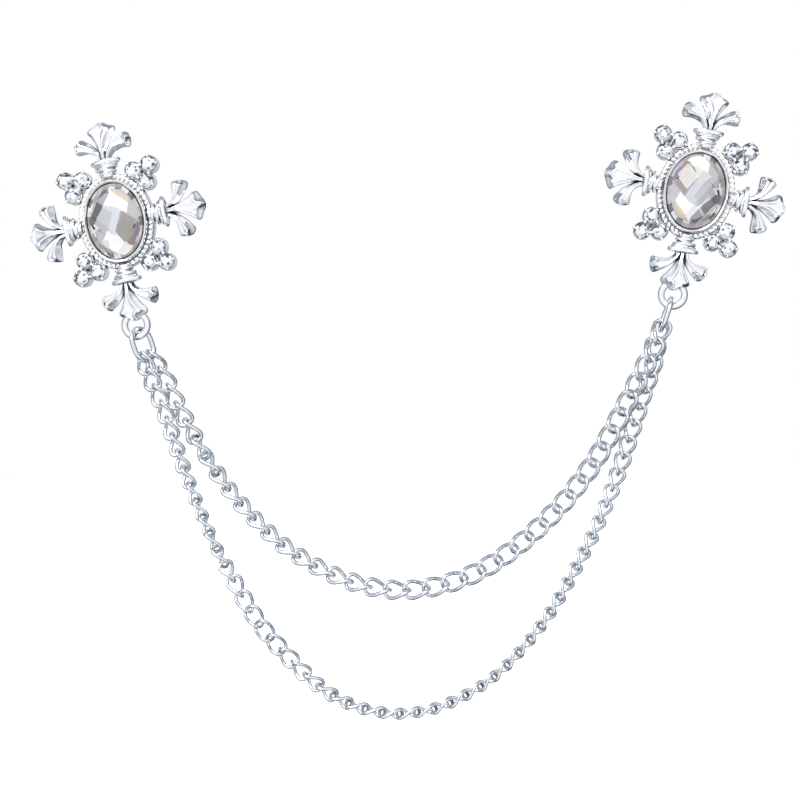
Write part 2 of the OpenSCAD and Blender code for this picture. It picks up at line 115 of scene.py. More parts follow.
# From a petal's outer edge to its face: share of the bevel's width, share of the wide wall's
# width on the side towards the other brooch, drop below the face
PETAL_EDGE = ((0.0, 0.0, 1.4), (0.0, 0.14, 1.12), (0.04, 0.22, 1.02), (0.28, 0.4, 0.84),
              (0.55, 0.6, 0.62), (0.76, 0.78, 0.36), (0.9, 0.9, 0.14), (1.05, 1.0, 0.04),
              (1.25, 1.12, 0.0), (1.45, 1.24, 0.01))
# The wide wall's width, how far a wall's foot stands out, the share of that which a narrow wall
# keeps, and how fast the walls widen towards the other brooch and the feet grow from the root
WIDE_WALL, WALL_FOOT, NARROW_FOOT, WALL_WIDENS, FOOT_GROWS = 1.0, 0.4, 0.35, 1.35, 2.5
# The largest shares of a petal's breadth: a wall, a bevel; and how much of a bevel is used
WALL_SHARE, BEVEL_SHARE, BEVEL_USE = 0.38, 0.34, 0.72
# Where a petal's tip starts to curl up, and how far it does
CURL_FROM, CURL = 0.72, 0.3
# Places across a petal's face, the deepest dish as a share of its breadth, the dish's form, and
# the petals' own dishes
ACROSS, DISH_SHARE, DISH_FORM = (0.08, 0.2, 0.35, 0.5, 0.65, 0.8, 0.92), 0.22, 0.8
MIDDLE_DISH, SIDE_DISH = 0.26, 0.42
# Bevels of a middle and a side petal: the widest, the narrowest, how much they grow with the
# half width, the share of the length where the tip begins, and the bevel there
MIDDLE_BEVEL, SIDE_BEVEL = (0.95, 0.2, 0.42, 0.72, 0.36), (0.5, 0.05, 0.34, 0.78, 0.32)
# The collar: out from the arm's axis as a share of its half width and height, and mm along the
# arm
COLLAR_EDGE = ((0.02, -1.1), (0.5, -1.1), (0.7, -0.98), (0.78, -0.82), (0.81, -0.66),
               (0.79, -0.54), (0.8, -0.46), (0.88, -0.42), (0.95, -0.3), (0.99, -0.1),
               (1.0, 0.12), (0.995, 0.32), (0.97, 0.46), (0.93, 0.52), (0.87, 0.48),
               (0.8, 0.36), (0.7, 0.29), (0.5, 0.26), (0.02, 0.26))
NECK_CORE = ((0.02, -0.8), (NECK_R * 0.92, -0.8), (NECK_R * 0.9, 0.4), (NECK_R * 1.12, 2.0),
             (0.02, 2.0))
# The neck's windings: along the arm, half width, half height, wire
WRAPS = ((0.18, 1.64, 1.46, 0.76), (0.7, 1.84, 1.54, 0.68), (1.22, 2.2, 1.64, 0.7))
# Each arm, in turn from the top: turn, where it leaves the border, slant of each winding
ARMS = ((0, BORDER_B, (12, -9, 8)), (90, BORDER_A, (-10, 8, -6)),
        (180, BORDER_B, (9, -12, 6)), (270, BORDER_A, (-12, 6, -9)))
# Out from the crystal's seat, height: the bezel's rounded lip, and the border round it
BEZEL_LIP = ((0.02, 1.0), (-0.02, 2.5), (0.02, 2.72), (0.14, 2.98), (0.24, 3.16), (0.34, 3.25),
             (0.46, BEZEL_H), (0.6, 3.2), (0.72, 3.04), (0.8, 2.8), (0.84, 2.4), (0.86, 1.8),
             (0.86, 1.0))
BORDER_RIM = ((0.6, 0.0), (0.6, 2.0), (0.9, 1.92), (1.1, 1.98), (1.6, 2.0), (1.85, 1.92),
              (2.0, 1.74), (2.1, 1.4), (2.1, 0.15), (2.02, 0.0))
# The back plate: share of its half widths, height; and how far it goes past the seat
PLATE, PLATE_TUCK = ((0.02, 0.0), (1.0, 0.0), (1.0, PLATE_T), (0.02, PLATE_T)), 0.7
# The border's beads: their number, slant, line out from the seat, height, half length and
# width, then how high they stand and how much more on the side where they show clearly, which
# is below and towards the other brooch
BEADS, BEAD_SLANT, BEAD_OUT, BEAD_Z, BEAD_A, BEAD_B = 50, 24, 1.42, 1.98, 0.68, 0.47
BEAD_RISE, BEAD_MORE, BEAD_BELOW = 0.27, 0.17, Vector((0, -0.8, 0))
BORDER_STEPS = 720
# Radius, height: a stone's cup, and one of its four prongs
CUP = ((0.02, 0.0), (1.78, 0.0), (1.86, 0.12), (1.88, 0.4), (1.88, 2.3), (1.86, 2.58),
       (1.82, 2.7), (1.76, 2.74), (1.7, 2.7), (1.66, 2.58), (1.64, 2.3), (1.62, 1.35),
       (0.02, 1.35))
PRONG = ((0.02, 1.6), (0.3, 1.6), (0.34, 2.7), (0.33, 2.95), (0.25, 3.1), (0.13, 3.18),
         (0.02, 3.2))
PRONG_OUT, WEB_H = 1.7, 1.5
# Radius, height behind the plate: the post's pad, its foot and its pointed end
TACK = ((0.02, 0), (2.9, 0), (PAD_D / 2, -0.1), (PAD_D / 2, -0.5), (2.9, -PAD_T),
        (0.75, -PAD_T), (0.56, -PAD_T - 0.2), (POST_D / 2, -PAD_T - 0.4),
        (POST_D / 2, -PAD_T - POST_L), (0.4, -PAD_T - POST_L - 0.4),
        (0.12, -PAD_T - POST_L - 1.05), (0.02, -PAD_T - POST_L - POST_D))


def lookup(table, s):
    """Straight reading between the rows of a table, held at its ends."""
    if s <= table[0][0]:
        return table[0][1]
    for (low, before), (high, after) in zip(table, table[1:]):
        if s <= high:
            return before + (s - low) / (high - low) * (after - before)
    return table[-1][1]


def spline(points, steps):
    """A smooth line through chosen points."""
    out = []
    last = len(points) - 1
    for i in range(last):
        a, b = points[max(i - 1, 0)], points[i]
        c, d = points[i + 1], points[min(i + 2, last)]
        for k in range(steps):
            t = k / steps
            out.append(0.5 * (2 * b + (c - a) * t + (2 * a - 5 * b + 4 * c - d) * t * t
                              + (3 * b - a - 3 * c + d) * t * t * t))
    return out + [points[-1].copy()]


def eased(points, rounds):
    """The points drawn a little towards their neighbours, so an inset line has no kinks."""
    for _ in range(rounds):
        kept = list(points)
        for i in range(1, len(points) - 1):
            points[i] = (kept[i - 1] + 2 * kept[i] + kept[i + 1]) / 4
    return points


def smoothed(values, rounds):
    """Numbers drawn towards their neighbours, the first and last too."""
    last = len(values) - 1
    for _ in range(rounds):
        values = [(values[max(i - 1, 0)] + 2 * v + values[min(i + 1, last)]) / 4
                  for i, v in enumerate(values)]
    return values


class Shape:
    """Points and faces of one piece, gathered part by part, each face with its material."""

    def __init__(self, verts=(), faces=(), slots=()):
        self.verts, self.faces, self.slots = list(verts), list(faces), list(slots)

    def add(self, verts, faces, place=None, slots=None):
        base = len(self.verts)
        self.verts += [place @ v if place else v for v in verts]
        self.faces += [tuple(base + i for i in face) for face in faces]
        self.slots += slots or [0] * len(faces)

    def join(self, other, place):
        self.add(other.verts, other.faces, place, other.slots)

    def flatten(self):
        """Nothing stands behind the back plane."""
        self.verts = [Vector((v.x, v.y, max(v.z, 0.0))) for v in self.verts]


def rows_to_faces(rows, closed):
    """Faces between rings of points. A row of rings that isn't closed gets a face at each end."""
    verts = [v for row in rows for v in row]
    wide, count = len(rows[0]), len(rows)
    faces = []
    for i in range(count if closed else count - 1):
        j = (i + 1) % count
        for k in range(wide):
            m = (k + 1) % wide
            faces.append((i * wide + k, i * wide + m, j * wide + m, j * wide + k))
    if not closed:
        faces.append(tuple(range(wide)))
        faces.append(tuple(range((count - 1) * wide, count * wide)))
    return verts, faces


def oval(a, b, z, count, shift=0.0):
    """Points round an oval, from its +X end."""
    return [Vector((a * math.cos(2 * math.pi * (k + shift) / count),
                    b * math.sin(2 * math.pi * (k + shift) / count), z)) for k in range(count)]


def oval_band(a, b, profile, sides=144):
    """A closed profile of (outward, height) taken round an oval."""
    rows = []
    for i in range(sides):
        t = 2 * math.pi * i / sides
        out = Vector((b * math.cos(t), a * math.sin(t))).normalized()
        rows.append([Vector((a * math.cos(t) + u * out.x, b * math.sin(t) + u * out.y, z))
                     for u, z in profile])
    return rows_to_faces(rows, True)


def lathe(profile, sides=32, wide=1.0, high=1.0):
    """A profile of (radius, height) spun about Z, ending on the axis at both ends."""
    return rows_to_faces([oval(r * wide, r * high, z, sides) for r, z in profile], False)


def tube(points, wire, sides, outward=None):
    """A closed ring of round wire along points."""
    rows = []
    count = len(points)
    for i, middle in enumerate(points):
        along = (points[(i + 1) % count] - points[i - 1]).normalized()
        out = middle - along * middle.dot(along) if outward is None else outward
        out = (out - along * out.dot(along)).normalized()
        up = along.cross(out)
        rows.append([middle + wire / 2 * (out * math.cos(2 * math.pi * k / sides)
                                          + up * math.sin(2 * math.pi * k / sides))
                     for k in range(sides)])
    return rows_to_faces(rows, True)


def ball(rx, ry, rz, rings=8, sides=14):
    """A rounded bead, its ends cut off a hair from the axis."""
    rows = []
    for i in range(rings + 1):
        r = max(math.sin(math.pi * i / rings), 0.02)
        rows.append(oval(r * rx, r * ry, -math.cos(math.pi * i / rings) * rz, sides))
    return rows_to_faces(rows, False)


def turned(degrees, axis):
    return Matrix.Rotation(math.radians(degrees), 4, axis)


def moved(x, y, z):
    return Matrix.Translation(Vector((x, y, z)))


def at_side(side):
    """The place of a brooch, its own frame flat with Z towards the front."""
    base = (0, 0, 0) if side == "left" else (SPAN, 0, RISE)
    return moved(*base) @ turned(YAW[side], "Z") @ turned(90, "X") @ turned(ROLL[side], "Z")


def shaded(name, values):
    """A material with one surface shader, given its plain values."""
    material = bpy.data.materials.new(name)
    material.use_nodes = True
    nodes, links = material.node_tree.nodes, material.node_tree.links
    nodes.clear()
    out = nodes.new("ShaderNodeOutputMaterial")
    shader = nodes.new("ShaderNodeBsdfPrincipled")
    fill(shader, values)
    links.new(shader.outputs[0], out.inputs[0])
    return material, nodes, links, shader


def fill(node, values):
    """Sets a node's inputs by name or number."""
    for which, value in values.items():
        node.inputs[which].default_value = value


def noise(nodes, links, place, scale, detail=2.0):
    node = nodes.new("ShaderNodeTexNoise")
    fill(node, {"Scale": scale, "Detail": detail})
    links.new(place, node.inputs["Vector"])
    return node


def ramp(nodes, links, value, stops):
    """Colours by a value, as (place, colour) in turn."""
    node = nodes.new("ShaderNodeValToRGB")
    while len(node.color_ramp.elements) < len(stops):
        node.color_ramp.elements.new(0.5)
    for element, (place, colour) in zip(node.color_ramp.elements, stops):
        element.position = place
        element.color = (*colour, 1)
    links.new(value, node.inputs["Fac"])
    return node.outputs["Color"]


# Noise scales of the metal's broad and fine marks and of the foil's patches; how strong the fine
# marks are, and how deep in metres; and how many rays look for the depth of the painted shade
BROAD_MARKS, FINE_MARKS, FOIL_PATCHES = 420, 1500, 350
MARK_STRENGTH, MARK_DEPTH, DEPTH_RAYS = 0.12, 0.00004, 6


def silver(name, base, shade, rough_low, rough_high, reach):
    """Polished plated metal: fine polish marks, and painted shade that darkens its colour where it
    lies deep.
    """
    material, nodes, links, shader = shaded(name, {"Metallic": 1.0})
    place = nodes.new("ShaderNodeTexCoord").outputs["Object"]
    polish = nodes.new("ShaderNodeMapRange")
    fill(polish, {"From Min": 0.3, "From Max": 0.7, "To Min": rough_low, "To Max": rough_high})
    links.new(noise(nodes, links, place, BROAD_MARKS, 3).outputs["Fac"], polish.inputs["Value"])
    links.new(polish.outputs[0], shader.inputs["Roughness"])
    # Painted shade: the colour darkens from base to shade in creases, recesses and between parts,
    # where the occlusion node finds them
    painted_shade = nodes.new("ShaderNodeAmbientOcclusion")
    painted_shade.samples = DEPTH_RAYS
    fill(painted_shade, {"Distance": reach * MM})
    stops = ((0.0, shade), (0.3, [0.35 * a + 0.65 * b for a, b in zip(base, shade)]),
             (0.62, [0.85 * c for c in base]), (0.85, base))
    links.new(ramp(nodes, links, painted_shade.outputs["AO"], stops), shader.inputs["Base Color"])
    bump = nodes.new("ShaderNodeBump")
    fill(bump, {"Strength": MARK_STRENGTH, "Distance": MARK_DEPTH})
    links.new(noise(nodes, links, place, FINE_MARKS, 4).outputs["Fac"], bump.inputs["Height"])
    links.new(bump.outputs["Normal"], shader.inputs["Normal"])
    return material


def glass(name, ior, clear):
    """Cut glass, its colour read from the reflections, glints and shade painted on each facet."""
    material, nodes, links, shader = shaded(name, {"Roughness": 0.0, "IOR": ior,
                                                   "Transmission Weight": clear})
    # Painted light: the facets' reflections, glints and shade, given as a colour attribute
    facet_light_paint = nodes.new("ShaderNodeVertexColor")
    facet_light_paint.layer_name = "facet_light_paint"
    links.new(facet_light_paint.outputs["Color"], shader.inputs["Base Color"])
    return material


def foil(name, colour, rough):
    """Mirror foil on the back of a stone."""
    material, nodes, links, shader = shaded(name, {"Metallic": 1.0, "Roughness": rough})
    place = nodes.new("ShaderNodeTexCoord").outputs["Object"]
    patch = noise(nodes, links, place, FOIL_PATCHES).outputs["Fac"]
    stops = ((0.3, [0.86 * c for c in colour]), (0.7, colour))
    links.new(ramp(nodes, links, patch, stops), shader.inputs["Base Color"])
    return material


# Painted shade: the near-black that each metal's colour darkens to in its creases, as does the
# post steel's grey below
SHADE = (0.012, 0.02, 0.03)
CAST = silver("cast_silver", (0.965, 0.972, 0.98), SHADE, 0.08, 0.16, 0.85)
CHAIN = silver("chain_silver", (0.79, 0.82, 0.855), SHADE, 0.12, 0.2, 0.7)
STEEL = silver("post_steel", (0.8, 0.81, 0.82), (0.1, 0.1, 0.1), 0.18, 0.3, 0.5)
CRYSTAL_GLASS = glass("crystal_glass", 1.52, 0.25)
BRILLIANT_GLASS = glass("brilliant_glass", 1.6, 0.2)
CRYSTAL_FOIL = foil("crystal_foil", (0.92, 0.9, 0.87), 0.03)
BRILLIANT_FOIL = foil("brilliant_foil", (0.95, 0.96, 0.98), 0.02)


# In mm: how near two points are joined as one, and how short an edge is taken out
JOIN_NEAR, EDGE_NEAR = 0.002, 0.001


def piece(name, shape, materials, replaced, sharp=None):
    """A mesh object in the frame that stands for CAD nodes. Flat facets where sharp is None."""
    mesh = bpy.data.meshes.new(name)
    mesh.from_pydata([v * MM for v in shape.verts], [], shape.faces)
    for material in materials:
        mesh.materials.append(material)
    mesh.polygons.foreach_set("material_index", shape.slots)
    work = bmesh.new()
    work.from_mesh(mesh)
    bmesh.ops.remove_doubles(work, verts=work.verts, dist=JOIN_NEAR * MM)
    bmesh.ops.dissolve_degenerate(work, edges=work.edges, dist=EDGE_NEAR * MM)
    bmesh.ops.recalc_face_normals(work, faces=work.faces)
    work.to_mesh(mesh)
    work.free()
    if sharp is not None:
        mesh.polygons.foreach_set("use_smooth", [True] * len(mesh.polygons))
        mesh.set_sharp_from_angle(angle=math.radians(sharp))
    obj = bpy.data.objects.new(name, mesh)
    bpy.context.scene.collection.objects.link(obj)
    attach(obj, "root")
    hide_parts(*replaced)
    return obj


def petal(outline_left, outline_right, bevel, inner, dish):
    """A petal from its two edge lines, root to tip, with hollowed walls and a dished face."""
    count = len(outline_left)
    breadth = [(p - q).length for p, q in zip(outline_left, outline_right)]
    wall = [min(WIDE_WALL, WALL_SHARE * w) for w in breadth]
    slim = smoothed([BEVEL_USE * min(v, BEVEL_SHARE * w) for v, w in zip(bevel, breadth)], 1)
    sides = []
    for line, sign in ((outline_left, 1), (outline_right, -1)):
        inward = []
        for i in range(count):
            along = line[min(i + 1, count - 1)] - line[max(i - 1, 0)]
            inward.append(Vector((along.y * sign, -along.x * sign)).normalized())
        inward = eased(inward, 3)
        tip = (outline_left[-3] + outline_right[-3]) / 2 - outline_left[-1]
        inward[-1] = tip.normalized()
        inward[-2] = (inward[-2] + inward[-1]).normalized()
        # 1 where the wall faces the other brooch and is wide, 0 where it faces away
        wide = smoothed([min(1.0, WALL_WIDENS * max(0.0, -v.dot(inner))) for v in inward], 4)
        edge = []
        for share, wall_share, drop in PETAL_EDGE:
            ring = [line[i] + inward[i] * ((1 - wide[i]) * slim[i] * share
                                           + wide[i] * wall[i] * wall_share
                                           - WALL_FOOT * (NARROW_FOOT + wide[i])
                                           * (1 - wall_share)
                                           * min(1.0, FOOT_GROWS * i / count))
                    for i in range(count)]
            edge.append((eased(ring, 2 if share else 0), drop))
        sides.append(edge)

    def raised(p, drop, i):
        """A point of the outline or the face at its height, i from the root to the tip."""
        rise = PETAL_Z + PETAL_T * (1 + lookup(ARCH, p.y / PETAL_L))
        curl = max(0.0, (i / (count - 1) - CURL_FROM) / (1 - CURL_FROM)) ** 2
        return Vector((p.x, p.y, rise - drop + CURL * curl * (1 - min(drop, 1.0))))

    rows = []
    for i in range(count):
        left, right = ([raised(ring[i], drop, i) for ring, drop in edge] for edge in sides)
        gap = (left[-1] - right[-1]).length
        middle = []
        for share in ACROSS:
            p = left[-1].lerp(right[-1], share)
            sink = min(dish, DISH_SHARE * gap) * math.sin(math.pi * share) ** DISH_FORM
            middle.append(Vector((p.x, p.y, p.z - sink)))
        rows.append(left + middle + right[::-1])
    return rows_to_faces(rows, False)


def bevels(widths, count, form):
    """A petal's bevel at each point of its edge, from its half widths."""
    most, least, grows, tip_from, at_tip = form
    return [min(most, least + grows * w) if i < count * tip_from else at_tip
            for i, w in enumerate(widths)]


def middle_petal(inner):
    line = spline([Vector((w * PETAL_W / 2, s * PETAL_L)) for s, w in MIDDLE_PETAL], 4)
    right = [Vector((max(p.x, 0.0), p.y)) for p in line]
    left = [Vector((-p.x, p.y)) for p in right]
    bevel = bevels([p.x for p in right], len(right), MIDDLE_BEVEL)
    return petal(left, right, smoothed(bevel, 4), inner, MIDDLE_DISH)


def side_petal(hand, inner):
    middle = spline([Vector((x * SIDE_REACH, s * PETAL_L)) for s, x, _ in SIDE_PETAL], 4)
    widths = spline([Vector((w * SIDE_W / 2, 0)) for _, _, w in SIDE_PETAL], 4)
    last = len(middle) - 1
    left, right = [], []
    for i, p in enumerate(middle):
        along = (middle[min(i + 1, last)] - middle[max(i - 1, 0)]).normalized()
        across = Vector((along.y, -along.x)) * max(widths[i].x, 0.0)
        left.append(Vector(((p - across).x * hand, (p - across).y)))
        right.append(Vector(((p + across).x * hand, (p + across).y)))
    bevel = bevels([w.x for w in widths], last, SIDE_BEVEL)
    if hand < 0:
        left, right = right, left
    return petal(left, right, bevel, inner, SIDE_DISH)


def arm(slants, inner):
    """One arm from its border end: the wound neck, the collar and three petals."""
    shape = Shape()
    upright = turned(-90, "X")
    shape.add(*lathe(NECK_CORE), place=moved(0, 0, NECK_Z) @ upright)
    for (y, wide, high, wire), slant in zip(WRAPS, slants):
        points = [Vector((p.x, 0, p.y)) for p in oval(wide, high, 0, 48)]
        shape.add(*tube(points, wire, 12), place=moved(0, y, NECK_Z) @ turned(slant, "Z"))
    shape.add(*lathe(COLLAR_EDGE, 56, COLLAR_W / 2, COLLAR_H / 2),
              place=moved(0, NECK_L - COLLAR_LAP, NECK_Z) @ turned(COLLAR_SLANT, "Z") @ upright)
    for verts, faces in (middle_petal(inner), side_petal(1, inner), side_petal(-1, inner)):
        shape.add(verts, faces, moved(0, NECK_L, 0))
    shape.flatten()
    return shape


def cups():
    """Middles of the twelve cups, as in the source."""
    a, b = BORDER_A + CUP_D / 2 - CUP_BITE, BORDER_B + CUP_D / 2 - CUP_BITE
    spread = math.degrees(math.asin(CUP_STEP / (2 * math.sqrt(a * b))))
    p, q = (Vector((a * math.cos(math.radians(t)), b * math.sin(math.radians(t))))
            for t in (CLUSTER_TURN - spread, CLUSTER_TURN + spread))
    half = (q - p) / 2
    out = Vector((half.y, -half.x)).normalized()
    tip = (p + q) / 2 + out * math.sqrt(CUP_STEP ** 2 - half.length_squared)
    return [[Vector((c.x * sx, c.y * sy)) for c in (p, q, tip)]
            for sx, sy in ((1, 1), (-1, 1), (-1, -1), (1, -1))]


CLUSTERS = cups()


def frame_shape(seen):
    """Plate, bezel and beaded border. The vector seen points to the other brooch."""
    shape = Shape()
    shape.add(*oval_band(SEAT_A, SEAT_B, BEZEL_LIP))
    shape.add(*oval_band(SEAT_A, SEAT_B, BORDER_RIM))
    shape.add(*lathe(PLATE, 96, SEAT_A + PLATE_TUCK, SEAT_B + PLATE_TUCK))
    line = oval(SEAT_A + BEAD_OUT, SEAT_B + BEAD_OUT, 0, BORDER_STEPS)
    line.append(line[0])
    lengths = running(line)
    clear = (seen + BEAD_BELOW).normalized()
    for i in range(BEADS):
        s = lengths[-1] * (i + 0.5) / BEADS
        k = max(j for j in range(BORDER_STEPS) if lengths[j] <= s)
        p, along = line[k], line[k + 1] - line[k]
        angle = math.degrees(math.atan2(along.y, along.x)) + 90 + BEAD_SLANT
        rise = BEAD_RISE + BEAD_MORE * p.normalized().dot(clear)
        shape.add(*ball(BEAD_A, BEAD_B, rise),
                  place=moved(p.x, p.y, BEAD_Z) @ turned(angle, "Z"))
    return shape


def clusters_shape():
    """The four trefoils of cups, each cup with four prongs, on a web of metal."""
    shape = Shape()
    for group in CLUSTERS:
        for c in group:
            shape.add(*lathe(CUP, 40), place=moved(c.x, c.y, 0))
        middle = (group[0] + group[1] + group[2]) / 3
        for c in group:
            for step in range(4):
                angle = math.atan2(*(c - middle).yx) + math.radians(45 + 90 * step)
                p = c + Vector((math.cos(angle), math.sin(angle))) * PRONG_OUT
                shape.add(*lathe(PRONG, 12), place=moved(p.x, p.y, 0))
        inward = [c - c.normalized() * (CUP_D / 2 + BORDER_W) for c in group[:2]]
        web = [group[0], group[2], group[1], inward[1], inward[0]]
        rows = [[Vector((p.x, p.y, z)) for p in web] for z in (0.0, WEB_H)]
        shape.add(*rows_to_faces(rows, False))
    return shape


def setting_shapes(side):
    """The casting's parts in the brooch's own frame."""
    seen = Vector((1 if side == "left" else -1, 0, 0))
    arms = Shape()
    for turn, reach, slants in ARMS:
        inner = (turned(-turn - ROLL[side], "Z") @ seen).xy
        arms.join(arm(slants, inner), turned(turn, "Z") @ moved(0, reach, 0))
    eye = Shape()
    eye.add(*tube(oval(EYE_R, EYE_R, 0, 72), EYE_WIRE, 20), place=moved(0, EYE_Y, EYE_Z))
    return {"frame": frame_shape(seen), "clusters": clusters_shape(), "arms": arms, "eye": eye}


def cut_solid(outline, low, high, planes, lines):
    """A prism on an outline, cut by planes given as (point, outward normal), its faces then
    parted along upright planes through pairs of points."""
    work = bmesh.new()
    bottom = [work.verts.new((p.x, p.y, low)) for p in outline]
    top = [work.verts.new((p.x, p.y, high)) for p in outline]
    count = len(outline)
    work.faces.new(bottom[::-1])
    work.faces.new(top)
    for i in range(count):
        j = (i + 1) % count
        work.faces.new((bottom[i], bottom[j], top[j], top[i]))

    def bisect(point, normal, clear):
        geometry = work.verts[:] + work.edges[:] + work.faces[:]
        return bmesh.ops.bisect_plane(work, geom=geometry, plane_co=point, plane_no=normal,
                                      clear_outer=clear, dist=1e-4)

    for point, normal in planes:
        cut = bisect(point, normal, True)
        edges = [g for g in cut["geom_cut"] if isinstance(g, bmesh.types.BMEdge)]
        if edges:
            bmesh.ops.holes_fill(work, edges=edges, sides=0)
    for p, q in lines:
        bisect(Vector((*p, 0)), Vector((p[1] - q[1], q[0] - p[0], 0)).normalized(), False)
    bmesh.ops.recalc_face_normals(work, faces=work.faces)
    work.verts.index_update()
    verts = [v.co.copy() for v in work.verts]
    faces = [tuple(v.index for v in f.verts) for f in work.faces]
    work.free()
    return verts, faces


# The crystal's facets: their pitch as a share of its half widths, their turn, and how many lie
# on each side of the middle
FACET_CELL, FACET_TURN, FACET_ROWS = 0.5, 52, 3
# As shares of its half widths: the last facets' middles, and where the outer ones are held,
# with this share of their depth
FACET_REACH, FACET_HOLD, HOLD_SETTLE = 1.2, 0.92, 0.3
# The back's share of the width, the facets round it, and how much smaller the stone is drawn
CRYSTAL_BACK, BACK_FACETS, CRYSTAL_EASE = 0.74, 20, 0.08

# Reflections, flashes and shade painted on the crystal's facets as patches: colour, then the
# patch's corners
WHITE, PEARL, MIST = (1.0, 1.0, 1.0), (0.76, 0.75, 0.73), (0.66, 0.69, 0.75)
ASH, TAUPE, SMOKE = (0.55, 0.57, 0.57), (0.37, 0.355, 0.33), (0.15, 0.15, 0.16)
CRYSTAL_LIGHT_PATCHES = (
    ((1.0, 0.62, 0.25), ((1.14, 6.1), (3.6, 3.77), (3.37, 3.58), (1.02, 5.79))),
    (WHITE, ((0.35, 6.35), (3.86, 2.98), (3.25, 0.96), (0.96, 2.77), (-1.4, 3.47))),
    (MIST, ((-1.4, 3.47), (0.96, 2.77), (2.37, 2.07), (0.35, -2.37), (-0.84, -1.4),
            (0.32, 1.54), (-1.67, 3.02))),
    (ASH, ((-1.67, 3.02), (0.32, 1.54), (-0.84, -1.4), (-2.28, -2.49), (-4.07, 0.09))),
    ((0.05, 0.04, 0.05), ((3.86, -2.28), (4.39, -1.4), (4.56, -1.58), (4.12, -2.46))),
    ((0.42, 0.24, 0.16), ((2.1, -4.9), (3.2, -4.0), (3.9, -2.5), (4.15, -2.6), (3.4, -4.5),
                          (3.0, -5.6))),
    (TAUPE, ((2.46, 1.19), (4.74, -0.7), (4.12, -1.58), (3.16, -3.86), (2.1, -4.91),
             (1.32, -4.65), (0.35, -2.37))),
    (PEARL, ((-0.84, -1.4), (1.46, -3.37), (0.79, -4.74), (-1.58, -4.04), (-2.6, -3.46))),
    (WHITE, ((-1.58, -4.04), (0.79, -4.74), (3.12, -5.88), (2.46, -6.67), (0.88, -7.46),
             (-0.35, -7.02), (-1.58, -6.1))),
    ((0.3, 0.24, 0.36), ((4.7, -1.1), (5.4, -1.3), (5.0, -3.3), (3.3, -5.4), (2.98, -4.91),
                          (3.86, -3.5))),
    ((0.42, 0.43, 0.45), ((-0.9, 6.0), (-0.1, 6.0), (-1.5, 3.4), (-2.9, 4.6))),
    (WHITE, ((-3.86, 4.0), (-4.7, 2.6), (-4.9, 3.2), (-4.0, 4.4))),
    (WHITE, ((-4.9, -0.7), (-4.65, -2.8), (-4.3, -2.1))),
    ((0.05, 0.06, 0.08), ((-5.1, 0.1), (-4.6, 0.0), (-4.1, -1.05), (-4.7, -1.05))),
    (SMOKE, ((-0.4, 5.8), (-1.6, 3.3), (-2.3, 2.1), (-3.5, 1.05), (-4.2, 0.5), (-4.7, 1.75),
             (-3.6, 3.3), (-2.3, 5.4), (-1.4, 6.7), (-0.5, 6.8))),
    ((0.55, 0.56, 0.62), ((-3.9, -1.2), (-2.28, -2.5), (-2.6, -3.46), (-1.6, -4.1),
                          (-3.0, -4.3), (-4.4, -2.6))),
    ((0.62, 0.57, 0.52), ((-1.6, -4.1), (-1.6, -6.0), (-3.2, -4.9), (-4.4, -2.6),
                          (-3.0, -4.3))),
    ((0.62, 0.59, 0.55), ((0.3, 6.9), (3.2, 5.9), (5.0, 2.5), (3.9, 3.0), (0.5, 6.3))),
    ((0.6, 0.57, 0.6), ((3.9, 3.0), (5.0, 2.5), (5.5, 0.0), (4.8, -0.6), (3.3, 1.0))))
# The painted reflections and shade of its rim's small facets, in turn
CRYSTAL_RIM_LIGHT = ((0.5, 0.46, 0.42), (0.62, 0.6, 0.57), (0.34, 0.33, 0.32), (0.5, 0.48, 0.49),
               (0.85, 0.84, 0.82), (0.42, 0.38, 0.35), (0.2, 0.2, 0.21))
RIM_FACETS, RIM_FROM = 24, 0.87


def inside(corners, x, y):
    """Whether a point lies in a patch."""
    odd = False
    for (ax, ay), (bx, by) in zip(corners, corners[1:] + corners[:1]):
        if (ay > y) != (by > y) and x < ax + (y - ay) * (bx - ax) / (by - ay):
            odd = not odd
    return odd


